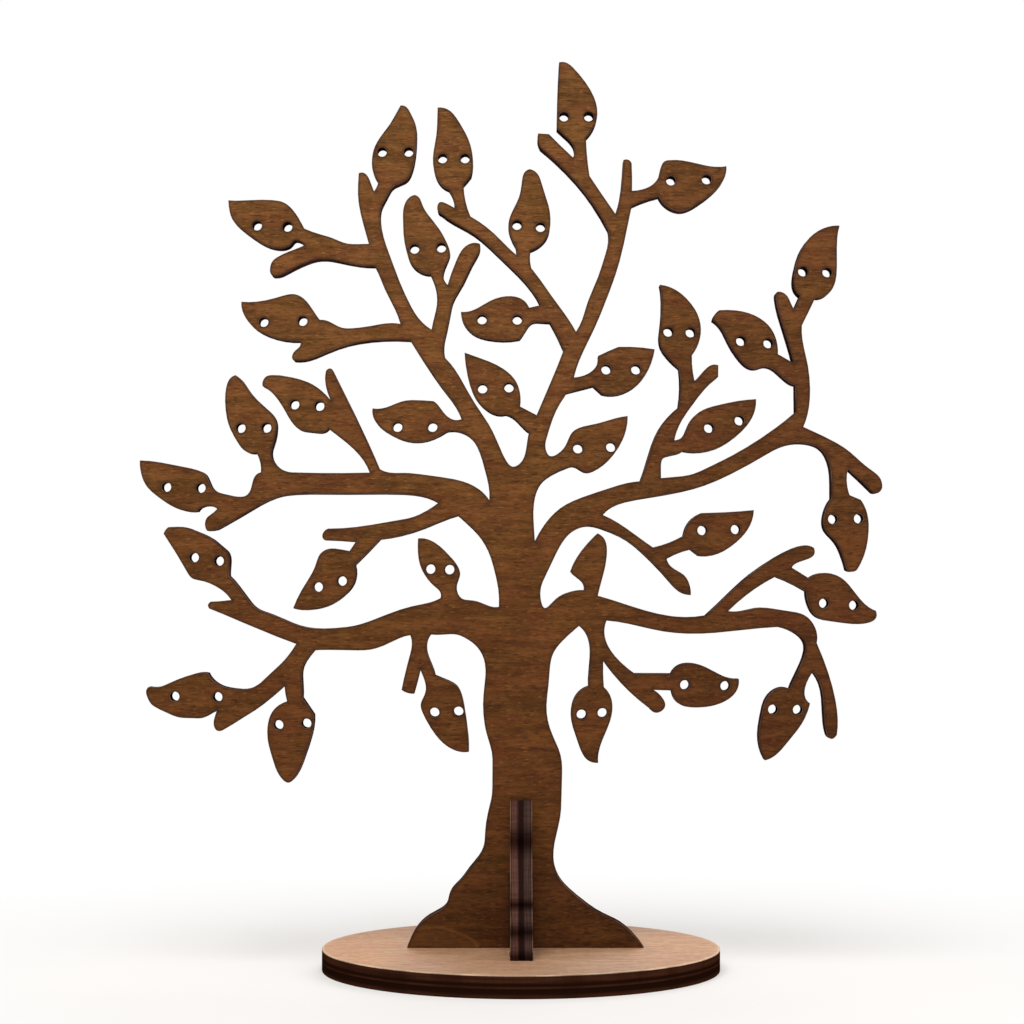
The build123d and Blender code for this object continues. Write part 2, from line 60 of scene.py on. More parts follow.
# Each sheet's own frame: the axes that run across and up its front face, the axis through its
# thickness, and which way along that axis the front face looks. Then its body and its material slot.
SHEETS = {
    "tree_panel": {
        "across": 0, "up": 2, "through": 1, "side": -1.0, "body": "tree", "slot": "tree_plywood",
    },
    "root_brace": {
        "across": 1, "up": 2, "through": 0, "side": 1.0, "body": "brace", "slot": "brace_plywood",
    },
    "round_base": {
        "across": 0, "up": 1, "through": 2, "side": 1.0, "body": "base", "slot": "base_plywood",
    },
}

# Photograph: the pixels along its frame, the pixel of the middle of the tree's foot, the tree's height in
# pixels and in mm, and so the scale on its front face. Then the camera's sensor, in mm, and the nearest
# thing it sees.
FRAME_PIXELS = 1024
FOOT_PIXEL = (521.0, 948.0)
TREE_PIXELS = 886.0
TREE_HEIGHT = 240.0
PIXELS_PER_MM = TREE_PIXELS / TREE_HEIGHT
SENSOR_WIDTH = 36.0
CLIP_START = 10.0 * MM

# Outlines: the grid on which the solid's points are merged, how far a point of the front face may lie
# behind it, the least length and square that is divided by, and the least cosine of a mitre's half angle.
MERGE_GRID = 1e-6
FRONT_TOLERANCE = 1e-5
LEAST_LENGTH = 1e-12
LEAST_COSINE = 0.5

# Cut edges: depth shares of the glue lines and of half a groove's width, the longest side of an outline
# that is left undivided, and the length under which every second point of a fine curve is left out.
GLUE_LINE_SHARES = (0.37, 0.62)
GROOVE_HALF_SHARE = 0.012
LONGEST_SIDE = 1.3 * MM
FINE_SIDE = 0.25 * MM

# Divided faces: the staggered grid's row pitch as a share of its column pitch, the room that it keeps
# from the scorch's inner border as a share of the pitch, the room that the border keeps from the rims as
# a share of the scorch's width, and the tolerance of the division, in mm.
ROW_PITCH_SHARE = 0.866
GRID_ROOM_SHARE = 0.5
BORDER_ROOM_SHARE = 0.9
DIVISION_TOLERANCE = 1e-5

# Scorch beside a cut: how far it is worked out and how fast it fades, as shares of its width, the height
# over the base up to which an upright's edge leaves none, and a drop that takes a point out of its reach.
SCORCH_REACH_SHARE = 4.0
SCORCH_FADE_SHARE = 0.45
SEAT_ROOM = 0.6 * MM
OUT_OF_REACH = 1.0

# Cross lap: the sheet that each slot takes, how far beside it the slot is looked for, and the gap left.
LAPS = {"tree_panel": "root_brace", "root_brace": "tree_panel"}
LAP_REACH = 0.2 * MM
LAP_LEFT = 0.005 * MM

# Finished mesh: the distance at which points are joined, and the angle from which an edge is sharp.
WELD_DISTANCE = 0.002 * MM
SHARP_ANGLE = math.radians(24.0)

# Finish of each sheet: the gloss of its faces, the share of the margin beside a cut, and the shares of the
# char on the cut edge.
FINISHES = {
    "tree_panel": {
        "gloss": 0.10, "margin_share": 0.7, "char_shares": {"fibre": 0.55, "streak": 0.4, "soot": 0.7},
    },
    "root_brace": {
        "gloss": 0.0, "margin_share": 0.7, "char_shares": {"fibre": 0.55, "streak": 0.35, "soot": 0.3},
    },
    "round_base": {
        "gloss": 0.25, "margin_share": 0.8, "char_shares": {"fibre": 0.55, "streak": 0.2, "soot": 0.4},
    },
}

# Steps that a grain's seed moves it by along the three axes.
SEED_STEPS = (1.0, 0.7, 1.3)

# Grains of the veneer: features to the metre along and across the grain, detail, roughness and seed.
VENEER_GRAINS = {
    "hue": (55.0, 150.0, 2.0, 0.5, 9.0),
    "cloud": (22.0, 22.0, 1.0, 0.5, 3.0),
    "patch": (120.0, 420.0, 4.0, 0.65, 4.0),
    "band": (60.0, 820.0, 3.0, 0.6, 11.0),
    "fibre": (380.0, 2100.0, 2.0, 0.65, 23.0),
    "pore": (420.0, 2500.0, 1.0, 0.5, 31.0),
    "fleck": (460.0, 2300.0, 1.0, 0.5, 37.0),
}
# Coats over the veneer's main tone, in order: the grain that places a coat, the range of the grain over
# which the coat comes in, its greatest share and its tone.
VENEER_COATS = (
    ("hue", 0.38, 0.62, 1.0, "warm"),
    ("cloud", 0.40, 0.62, 0.15, "dark"),
    ("patch", 0.36, 0.66, 0.42, "light"),
    ("band", 0.42, 0.70, 0.36, "dark"),
    ("fibre", 0.48, 0.74, 0.44, "dark"),
    ("pore", 0.58, 0.70, 0.52, "dark"),
    ("fleck", 0.58, 0.72, 0.62, "light"),
)
# The veneer's roughness over a range of the fibre, the shares of its relief, and its bump.
VENEER_ROUGHNESS = (0.3, 0.75, 0.48, 0.64)
FIBRE_RELIEF_SHARE = 0.6
PORE_RELIEF_SHARE = 0.4
VENEER_BUMP = {"Strength": 0.35, "Distance": 0.12 * MM}

# Painted shade and light: for each shade the axis it runs along, the places at which it is full and gone,
# and its factors. The uprights are darker towards the foot, where the brace and the base shade them, and on
# the right limbs,
# where less light falls: painted shade. The base is paler at both sides, round the painted shade of the tree
# on its middle.
UPRIGHT_PAINTED_SHADE = (
    ("Z", 50.0 * MM, 200.0 * MM, (0.72, 0.62, 0.50, 1.0)),
    ("Z", 14.0 * MM, 46.0 * MM, (0.80, 0.80, 0.85, 1.0)),
    ("X", 50.0 * MM, 5.0 * MM, (0.82, 0.77, 0.76, 1.0)),
)
# Painted light: the base's sides lighter than its middle, which lies in the tree's shade.
BASE_PAINTED_LIGHT = (
    ("X", -42.0 * MM, -22.0 * MM, (1.19, 1.08, 0.93, 1.0)),
    ("X", 42.0 * MM, 22.0 * MM, (1.17, 1.07, 0.93, 1.0)),
)

# Pale arc of figured grain in the left root: its middle and its half axes on the tree's sheet, and the
# waver of its line (features to the metre for each axis, detail, roughness and seed). As shares of the half
# axes, how far the line wavers, the border of the paler inside, and the arc's own radius and half width.
# Then the shares of the light tone inside it and on the arc.
FIGURE_MIDDLE = (-25.2 * MM, 0.0, 2.2 * MM)
FIGURE_AXES = (15.7 * MM, 9.5 * MM)
FIGURE_WAVER = ((120.0, 120.0, 260.0), 2.0, 0.5, 41.0)
FIGURE_WAVER_SHARE = 0.16
FIGURE_BORDER_SHARES = (0.90, 1.10)
FIGURE_ARC_SHARE = 1.08
FIGURE_ARC_HALF_SHARE = 0.07
FIGURE_INSIDE_LIGHT_SHARE = 0.13
FIGURE_ARC_LIGHT_SHARE = 0.26

# Grains of a cut edge: features to the metre along the cut and through the sheet, detail, roughness and
# seed. Then the range of each grain over which its char comes in, in order.
EDGE_GRAINS = {
    "fibre": (45.0, 2200.0, 2.0, 0.6, 29.0),
    "streak": (1500.0, 120.0, 2.0, 0.6, 7.0),
    "soot": (110.0, 30.0, 2.0, 0.55, 17.0),
}
EDGE_CHARS = (
    ("fibre", 0.46, 0.66),
    ("streak", 0.40, 0.72),
    ("soot", 0.44, 0.68),
)
# The edge's gloss, its roughness over a range of the streaks, and its bump.
EDGE_GLOSS = 0.0
EDGE_ROUGHNESS = (0.3, 0.7, 0.70, 0.88)
EDGE_BUMP = {"Strength": 0.4, "Distance": 0.1 * MM}

# Plies on a cut edge: the depth share of each stop and its colour among the edge settings. An upright's
# run from front to back, the base's from under the painted highlight on its arris to its underside.
UPRIGHT_PLY_SHARES = (
    (0.0, "rim"), (0.035, "rim"), (0.065, "core"), (0.10, "warm"), (0.32, "warm"), (0.41, "core"),
    (0.58, "core"), (0.67, "grey"), (0.90, "grey"), (0.935, "core"), (0.965, "rim"), (1.0, "rim"),
)
# Depth share of the painted highlight on the base's arris.
ARRIS_SHARE = 0.03
BASE_PLY_SHARES = (
    (0.055, "base_foot"), (0.28, "base_line"), (0.40, "base_dark"), (0.46, "base_dark"), (0.53, "base_line"),
    (0.60, "base_dark"), (0.78, "base_dark"), (0.90, "base_foot"), (1.0, "base_foot"),
)

# Bars of painted shade across the brace's cut edge, where its flared edge turns from the light and where it
# meets the
# base: the height of each bar's middle and its half height, and the factors of its shade.
BRACE_SHADE_BARS = (
    (35.3 * MM, 5.5 * MM), (19.4 * MM, 2.4 * MM), (13.1 * MM, 3.0 * MM), (6.5 * MM, 3.0 * MM),
)
BAR_SHADE = (0.22, 0.18, 0.16, 1.0)

# Floor: rings and sides of its grid and its reach, its roughness and gloss, the distances from the tree at
# which its white starts and is full, and the share that the white starts from.
FLOOR_RINGS = 12
FLOOR_SIDES = 96
FLOOR_REACH = 6000.0 * MM
FLOOR_ROUGHNESS = 0.8
FLOOR_GLOSS = 0.1
FLOOR_WHITE_START = 50.0 * MM
FLOOR_WHITE_FULL = 260.0 * MM
FLOOR_WHITE_SHARE = 0.30

# Soft lights, in metres: the place of each, the place it faces, its size and the setting of its power.
SOFT_LIGHTS = {
    "key_over_camera": ((-0.15, -0.55, 0.95), (0.0, 0.0, 0.13), 0.7, "key_power"),
    "fill_right": ((0.75, -0.45, 0.35), (0.0, 0.0, 0.12), 0.6, "fill_power"),
    "back_over_tree": ((0.25, 0.75, 0.80), (0.0, 0.0, 0.12), 0.6, "back_power"),
}


class JewelryTreeSheetSettings(bpy.types.PropertyGroup):
    """Shape of a cut sheet: its eased rim, its glue lines and how finely its faces are divided."""

    easing: bpy.props.FloatProperty(
        name="Easing", description="Width of the eased rim between a face and the cut edge",
        default=0.14 * MM, unit="LENGTH",
    )
    glue_groove: bpy.props.FloatProperty(
        name="Glue groove", description="Depth that the laser eats into each glue line",
        default=0.07 * MM, unit="LENGTH",
    )
    halo: bpy.props.FloatProperty(
        name="Scorch width", description="Width of the scorched margin on the faces along a cut",
        default=0.55 * MM, unit="LENGTH",
    )
    pitch: bpy.props.FloatProperty(
        name="Face pitch", description="Distance between the points that divide the faces",
        default=1.6 * MM, unit="LENGTH",
    )


class JewelryTreeStainSettings(bpy.types.PropertyGroup):
    """Colours of the stained veneer of the tree and of the base."""

    dark: bpy.props.FloatVectorProperty(
        name="Dark stain", description="Pores and late wood of the tree", subtype="COLOR_GAMMA",
        size=3, min=0, max=1, default=(0.180, 0.094, 0.027),
    )
    mid: bpy.props.FloatVectorProperty(
        name="Stain", description="Most of the tree's face", subtype="COLOR_GAMMA",
        size=3, min=0, max=1, default=(0.388, 0.247, 0.098),
    )
    warm: bpy.props.FloatVectorProperty(
        name="Warm stain", description="Redder drifts of the tree's face", subtype="COLOR_GAMMA",
        size=3, min=0, max=1, default=(0.427, 0.251, 0.122),
    )
    light: bpy.props.FloatVectorProperty(
        name="Light stain", description="Early wood and flecks of the tree", subtype="COLOR_GAMMA",
        size=3, min=0, max=1, default=(0.573, 0.384, 0.204),
    )
    # The base's tones are paler than the tree's stain: partly a paler finish, partly painted light from
    # above on its top, and a little darker for the painted shade of its middle, which the painted light at
    # the sides lifts again.
    base_dark: bpy.props.FloatVectorProperty(
        name="Dark base", description="Pores and late wood of the base", subtype="COLOR_GAMMA",
        size=3, min=0, max=1, default=(0.447, 0.317, 0.216),
    )
    base_mid: bpy.props.FloatVectorProperty(
        name="Base", description="Most of the base's face", subtype="COLOR_GAMMA",
        size=3, min=0, max=1, default=(0.685, 0.520, 0.378),
    )
    base_warm: bpy.props.FloatVectorProperty(
        name="Warm base", description="Redder drifts of the base's face", subtype="COLOR_GAMMA",
        size=3, min=0, max=1, default=(0.700, 0.512, 0.389),
    )
    base_light: bpy.props.FloatVectorProperty(
        name="Light base", description="Early wood and flecks of the base", subtype="COLOR_GAMMA",
        size=3, min=0, max=1, default=(0.806, 0.656, 0.524),
    )
    # Painted highlight: the pale line along the base's rim, on the arris of its edge and the margin of its
    # top.
    base_arris_highlight: bpy.props.FloatVectorProperty(
        name="Base arris", description="Worn arris along the base's rim", subtype="COLOR_GAMMA",
        size=3, min=0, max=1, default=(0.886, 0.761, 0.643),
    )
    scorch: bpy.props.FloatVectorProperty(
        name="Scorch", description="Face right beside a cut", subtype="COLOR_GAMMA",
        size=3, min=0, max=1, default=(0.157, 0.086, 0.047),
    )


class JewelryTreeEdgeSettings(bpy.types.PropertyGroup):
    """Colours of the charred plies on the cut edges."""

    core: bpy.props.FloatVectorProperty(
        name="Core char", description="Darkest ply", subtype="COLOR_GAMMA",
        size=3, min=0, max=1, default=(0.145, 0.084, 0.075),
    )
    warm: bpy.props.FloatVectorProperty(
        name="Warm char", description="Ply on one side of the core", subtype="COLOR_GAMMA",
        size=3, min=0, max=1, default=(0.365, 0.245, 0.208),
    )
    grey: bpy.props.FloatVectorProperty(
        name="Grey char", description="Ply on the other side of the core", subtype="COLOR_GAMMA",
        size=3, min=0, max=1, default=(0.290, 0.220, 0.200),
    )
    rim: bpy.props.FloatVectorProperty(
        name="Veneer rim", description="Thin face veneer at both sides of the edge", subtype="COLOR_GAMMA",
        size=3, min=0, max=1, default=(0.455, 0.345, 0.275),
    )
    base_dark: bpy.props.FloatVectorProperty(
        name="Base char", description="Dark plies of the base's edge", subtype="COLOR_GAMMA",
        size=3, min=0, max=1, default=(0.118, 0.055, 0.031),
    )
    base_line: bpy.props.FloatVectorProperty(
        name="Base line", description="Paler ply in the middle of the base's edge", subtype="COLOR_GAMMA",
        size=3, min=0, max=1, default=(0.255, 0.139, 0.090),
    )
    base_foot: bpy.props.FloatVectorProperty(
        name="Base foot", description="Reddish ply at the bottom of the base's edge", subtype="COLOR_GAMMA",
        size=3, min=0, max=1, default=(0.243, 0.133, 0.086),
    )


class JewelryTreeStageSettings(bpy.types.PropertyGroup):
    """Floor, light and camera around the tree."""

    floor_colour: bpy.props.FloatVectorProperty(
        name="Floor", description="Pale floor", subtype="COLOR_GAMMA",
        size=3, min=0, max=1, default=(0.955, 0.935, 0.915),
    )
    key_power: bpy.props.FloatProperty(
        name="Key light", description="Power of the soft light over the camera", default=8.5, unit="POWER",
    )
    fill_power: bpy.props.FloatProperty(
        name="Fill light", description="Power of the soft light at the right", default=1.5, unit="POWER",
    )
    back_power: bpy.props.FloatProperty(
        name="Back light", description="Power of the soft light behind the tree", default=3.0, unit="POWER",
    )
    sky: bpy.props.FloatProperty(
        name="Surround", description="Strength of the even light from all sides", default=0.36,
    )
    camera_distance: bpy.props.FloatProperty(
        name="Camera distance", description="From the lens to the tree's front face",
        default=0.705, unit="LENGTH",
    )
    lens_column: bpy.props.FloatProperty(
        name="Lens column", description="Pixel column of the lens axis", default=505.0,
    )
    lens_row: bpy.props.FloatProperty(
        name="Lens row", description="Pixel row of the lens axis", default=595.0,
    )


class JewelryTreeSettings(bpy.types.PropertyGroup):
    """All the settings of the jewelry tree."""

    sheet: bpy.props.PointerProperty(type=JewelryTreeSheetSettings)
    stain: bpy.props.PointerProperty(type=JewelryTreeStainSettings)
    edge: bpy.props.PointerProperty(type=JewelryTreeEdgeSettings)
    stage: bpy.props.PointerProperty(type=JewelryTreeStageSettings)


def linear(colour):
    """Scene-linear RGBA of a display colour, by the sRGB curve: c / 12.92 up to 0.04045 and
    ((c + 0.055) / 1.055) ** 2.4 above."""
    display = np.asarray(colour[:], dtype=float)
    light = np.where(display <= 0.04045, display / 12.92, ((display + 0.055) / 1.055) ** 2.4)
    return (*light.tolist(), 1.0)


def front_loops(node, sheet):
    """Closed outline loops of a sheet's front face as (n, 2) arrays, the material on their left, with the
    front's place through the sheet and the sheet's thickness.

    The front face is the set of triangles at the sheet's extreme along its thickness. A directed
    edge whose reverse belongs to no other triangle lies on the outline, and the edges are chained.
    """
    mesh = node.data
    mesh.calc_loop_triangles()
    points = np.empty(len(mesh.vertices) * 3)
    mesh.vertices.foreach_get("co", points)
    points = points.reshape(-1, 3)
    triangles = np.empty(len(mesh.loop_triangles) * 3, dtype=np.int64)
    mesh.loop_triangles.foreach_get("vertices", triangles)
    keys, merged = np.unique(np.round(points / MERGE_GRID).astype(np.int64), axis=0, return_inverse=True)
    triangles = merged.reshape(-1)[triangles].reshape(-1, 3)
    places = keys * MERGE_GRID
    depth = places[:, sheet["through"]] * sheet["side"]
    front = depth.max()
    triangles = triangles[(depth[triangles] > front - FRONT_TOLERANCE).all(axis=1)]
    edges = np.concatenate([triangles[:, [0, 1]], triangles[:, [1, 2]], triangles[:, [2, 0]]])
    count = len(places)
    forward = edges[:, 0] * count + edges[:, 1]
    backward = edges[:, 1] * count + edges[:, 0]
    rim = edges[~np.isin(forward, backward)]
    flat = places[:, [sheet["across"], sheet["up"]]]
    thickness = front - depth.min()
    return chained(rim, flat), front * sheet["side"], thickness


def chained(rim, flat):
    """The rim's directed edges put in order as loops of places, by doubling steps over whole arrays.

    Each point takes the least point of its loop as root, over 1, 2, 4 ... steps ahead, and then
    counts its hops to the root in the same way. In a loop of n points its turn is (n - hops) % n.
    """
    rim = rim[np.argsort(rim[:, 0])]
    after = np.searchsorted(rim[:, 0], rim[:, 1])
    points = np.arange(len(rim))
    doublings = int(np.ceil(np.log2(len(rim)))) + 1
    root, jump = points.copy(), after.copy()
    for _ in range(doublings):
        root = np.minimum(root, root[jump])
        jump = jump[jump]
    at_root = root == points
    hops, jump = np.where(at_root, 0, 1), np.where(at_root, points, after)
    for _ in range(doublings):
        hops = hops + hops[jump]
        jump = jump[jump]
    lengths = np.bincount(root, minlength=len(rim))[root]
    order = np.lexsort(((lengths - hops) % lengths, root))
    starts = np.flatnonzero(np.diff(root[order])) + 1
    return np.split(flat[rim[order, 0]], starts)


def spaced(loop, longest):
    """The loop with each side cut into equal parts no longer than the given length."""
    sides = np.roll(loop, -1, axis=0) - loop
    parts = np.maximum(1, np.ceil(np.hypot(sides[:, 0], sides[:, 1]) / longest)).astype(int)
    owner = np.repeat(np.arange(len(loop)), parts)
    first = np.repeat(np.cumsum(parts) - parts, parts)
    share = (np.arange(len(owner)) - first) / parts[owner]
    return loop[owner] + sides[owner] * share[:, None]


def thinned(loop):
    """The loop without every second point where both sides at the point are fine."""
    sides = np.roll(loop, -1, axis=0) - loop
    fine = np.hypot(sides[:, 0], sides[:, 1]) < FINE_SIDE
    spare = fine & np.roll(fine, 1) & (np.arange(len(loop)) % 2 == 1)
    return loop[~spare]


def inward(loop):
    """Mitred unit step into the material at each point: the mean of its two side normals over the
    cosine of their half angle, held to twice the side normal's length."""
    sides = np.roll(loop, -1, axis=0) - loop
    sides = sides / np.maximum(np.hypot(sides[:, 0], sides[:, 1]), LEAST_LENGTH)[:, None]
    normal = np.stack([-sides[:, 1], sides[:, 0]], axis=1)
    mean = normal + np.roll(normal, 1, axis=0)
    mean = mean / np.maximum(np.hypot(mean[:, 0], mean[:, 1]), LEAST_LENGTH)[:, None]
    cosine = np.maximum((mean * normal).sum(axis=1), LEAST_COSINE)
    return mean / cosine[:, None]


def sides_of(loops):
    """Start and end points of every side of the loops."""
    return np.concatenate(loops), np.concatenate([np.roll(loop, -1, axis=0) for loop in loops])


def clearance(points, loops, reach):
    """Distance from each point to the nearest side of any loop, held to a reach.

    It is the length of point - (a + t (b - a)), with t the projection on the side held between
    0 and 1. Points are taken in upright strips, each with the sides that come within the reach.
    """
    a, b = sides_of(loops)
    low = np.minimum(a[:, 0], b[:, 0]) - reach
    high = np.maximum(a[:, 0], b[:, 0]) + reach
    nearest = np.full(len(points), reach)
    strips = np.floor(points[:, 0] / reach).astype(int)
    for strip in np.unique(strips):
        members = np.where(strips == strip)[0]
        near = (high >= strip * reach) & (low <= (strip + 1) * reach)
        start, side = a[near], (b - a)[near]
        square = np.maximum((side ** 2).sum(axis=1), LEAST_LENGTH)
        offset = points[members, None, :] - start[None]
        t = np.clip((offset * side[None]).sum(axis=2) / square[None], 0.0, 1.0)
        gap = offset - t[..., None] * side[None]
        nearest[members] = np.sqrt((gap ** 2).sum(axis=2).min(axis=1, initial=reach ** 2))
    return nearest


def inside(points, loops):
    """True where a ray to the right of the point crosses the loops an odd number of times.

    Points are taken in level rows, each with the sides that span the row.
    """
    a, b = sides_of(loops)
    odd = np.zeros(len(points), dtype=bool)
    levels, row = np.unique(points[:, 1], return_inverse=True)
    for number, level in enumerate(levels):
        spans = (a[:, 1] > level) != (b[:, 1] > level)
        start, end = a[spans], b[spans]
        share = (level - start[:, 1]) / (end[:, 1] - start[:, 1])
        crossing = np.sort(start[:, 0] + share * (end[:, 0] - start[:, 0]))
        members = np.where(row == number)[0]
        odd[members] = (len(crossing) - np.searchsorted(crossing, points[members, 0])) % 2 == 1
    return odd


def divided_face(rims, settings):
    """Triangles of a face inside its rims, with a row of points at the scorch's inner border and a
    staggered grid beyond it, as (points, triangles).

    A triangle whose three corners lie on one and the same inner rim fills a hole and is left out.
    """
    corners = np.concatenate(rims)
    low = corners.min(axis=0)
    high = corners.max(axis=0)
    pitch = settings.pitch
    reach = settings.halo + pitch
    columns = np.arange(low[0], high[0], pitch)
    rows = np.arange(low[1], high[1], pitch * ROW_PITCH_SHARE)
    grid = np.stack(np.meshgrid(columns, rows), axis=-1)
    grid[1::2, :, 0] += pitch / 2
    grid = grid.reshape(-1, 2)
    grid = grid[inside(grid, rims)]
    grid = grid[clearance(grid, rims, reach) > settings.halo + GRID_ROOM_SHARE * pitch]
    border = np.concatenate([rim + settings.halo * inward(rim) for rim in rims])
    border = border[clearance(border, rims, reach) > BORDER_ROOM_SHARE * settings.halo]
    border = border[inside(border, rims)]
    points = np.concatenate([corners, border, grid])
    owner = np.concatenate([np.full(len(rim), number) for number, rim in enumerate(rims)])
    owner = np.concatenate([owner, np.full(len(points) - len(owner), -1)])
    start = np.cumsum([0] + [len(rim) for rim in rims])
    turns = [np.arange(len(rim)) + first for rim, first in zip(rims, start)]
    sides = [np.stack([turn, np.roll(turn, -1)], axis=1) for turn in turns]
    places, sides = (points / MM).tolist(), np.concatenate(sides).tolist()
    _, _, triangles, sources, _, _ = delaunay_2d_cdt(places, sides, [], 1, DIVISION_TOLERANCE)
    source = np.array([given[0] for given in sources])
    triangles = np.array(triangles, dtype=np.int64)
    loop = owner[source][triangles]
    area = np.array([signed_area(rim) for rim in rims])
    on_one_rim = (loop[:, 0] == loop[:, 1]) & (loop[:, 1] == loop[:, 2]) & (loop[:, 0] >= 0)
    triangles = source[triangles[~(on_one_rim & (area[loop[:, 0]] < 0))]]
    used, triangles = np.unique(triangles, return_inverse=True)
    return points[used], triangles.reshape(-1, 3)


def above(loop, seat):
    """The loop with the points under a height dropped far below it, out of the scorch's reach."""
    low = loop[:, 1] < seat
    return np.stack([loop[:, 0], np.where(low, seat - OUT_OF_REACH, loop[:, 1])], axis=1)


def snug(loop, partner):
    """The loop with the walls of its lap slot drawn up to the other sheet, as soot and stain fill the fit.

    Points of the slot's walls are held to half the other sheet's thickness and the gap left.
    """
    low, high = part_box(partner)
    through = SHEETS[partner]["through"]
    half = 0.5 * (high[through] - low[through])
    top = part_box("root_brace")[1][2] + LAP_REACH
    in_slot = (np.abs(loop[:, 0]) < half + LAP_REACH) & (loop[:, 1] < top)
    across = np.clip(loop[:, 0], -half - LAP_LEFT, half + LAP_LEFT)
    return np.stack([np.where(in_slot, across, loop[:, 0]), loop[:, 1]], axis=1)


def signed_area(loop):
    """Half the sum of the cross products of neighbouring points: positive for an anticlockwise loop."""
    after = np.roll(loop, -1, axis=0)
    return 0.5 * (loop[:, 0] * after[:, 1] - loop[:, 1] * after[:, 0]).sum()


def edge_profile(settings, thickness):
    """Rows (set back, depth) across the sheet: an eased rim, three plies parted by two shallow glue
    grooves, and an eased rim at the back."""
    ease = settings.easing
    groove = settings.glue_groove
    rows = [(ease, 0.0), (0.0, ease)]
    for share in GLUE_LINE_SHARES:
        middle = share * thickness
        half = GROOVE_HALF_SHARE * thickness
        rows += [(0.0, middle - half), (groove, middle), (0.0, middle + half)]
    rows += [(0.0, thickness - ease), (ease, thickness)]
    return np.array(rows)


def walls(loops, rows):
    """Points, depths and quads of the edge profile carried along each loop.

    A point is loop + set back * inward, at the depth of its row.
    """
    flats, depths, quads = [], [], []
    start = 0
    for loop in loops:
        wall = loop[None] + rows[:, 0, None, None] * inward(loop)[None]
        flats.append(wall.reshape(-1, 2))
        depths.append(np.repeat(rows[:, 1], len(loop)))
        index = start + np.arange(len(rows) * len(loop)).reshape(len(rows), len(loop))
        after = np.roll(index, -1, axis=1)
        quads.append(np.stack([index[:-1], index[1:], after[1:], after[:-1]], axis=-1).reshape(-1, 4))
        start += index.size
    return np.concatenate(flats), np.concatenate(depths), np.concatenate(quads)


def scorched(points, rims, settings, seat):
    """Scorch on a face: exp(-distance / (fade share * scorch width)), with the distance held to a reach.

    A seat is the height under which an edge stands on another piece and leaves no scorch. A sheet
    without a seat has its margin along the outer rim alone.
    """
    outer = max(rims, key=lambda rim: abs(signed_area(rim)))
    cuts = [outer] if seat is None else [above(rim, seat) for rim in rims]
    distance = clearance(points, cuts, SCORCH_REACH_SHARE * settings.halo)
    return np.exp(-distance / (SCORCH_FADE_SHARE * settings.halo))


def cut_sheet(name, settings, seat=None):
    """Mesh object of a cut sheet: a front face, a back face and the walls of its cuts.

    A point lies at front - side * depth through the sheet. It carries layer, its depth share, and
    scorch, which is 1 on the walls. The faces have the first material and the walls the second.
    """
    sheet = SHEETS[name]
    loops, front, thickness = front_loops(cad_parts[name], sheet)
    if name in LAPS:
        loops = [snug(loop, LAPS[name]) for loop in loops]
    loops = [spaced(thinned(loop), LONGEST_SIDE) for loop in loops]
    rims = [loop + settings.easing * inward(loop) for loop in loops]
    face, triangles = divided_face(rims, settings)
    wall, wall_depth, quads = walls(loops, edge_profile(settings, thickness))
    count = len(face)
    depth = np.concatenate([np.zeros(count), np.full(count, thickness), wall_depth])
    points = np.zeros((len(depth), 3))
    points[:, [sheet["across"], sheet["up"]]] = np.concatenate([face, face, wall])
    points[:, sheet["through"]] = front - sheet["side"] * depth
    triangles = np.concatenate([triangles, triangles[:, ::-1] + count])
    quads = quads + 2 * count
    margin = scorched(face, rims, settings, seat)
    scorch = np.concatenate([margin, margin, np.ones(len(wall))])
    mesh = bpy.data.meshes.new(name + "_cut")
    mesh.from_pydata(points.tolist(), [], triangles.tolist() + quads.tolist())
    for attribute, values in (("scorch", scorch), ("layer", depth / thickness)):
        data = mesh.attributes.new(attribute, "FLOAT", "POINT").data
        data.foreach_set("value", values.astype(np.float32))
    slots = np.repeat(np.array([0, 1], dtype=np.int32), [len(triangles), len(quads)])
    mesh.polygons.foreach_set("material_index", slots)
    mesh.polygons.foreach_set("use_smooth", np.ones(len(slots), dtype=bool))
    weld_points(mesh)
    mesh.set_sharp_from_angle(angle=SHARP_ANGLE)
    piece = bpy.data.objects.new(name + "_cut", mesh)
    bpy.context.scene.collection.objects.link(piece)
    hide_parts(name)
    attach(piece, sheet["body"])
    return piece


def weld_points(mesh):
    """Joins the points of the faces and the wall that lie in one place."""
    work = bmesh.new()
    work.from_mesh(mesh)
    bmesh.ops.remove_doubles(work, verts=work.verts, dist=WELD_DISTANCE)
    work.to_mesh(mesh)
    work.free()


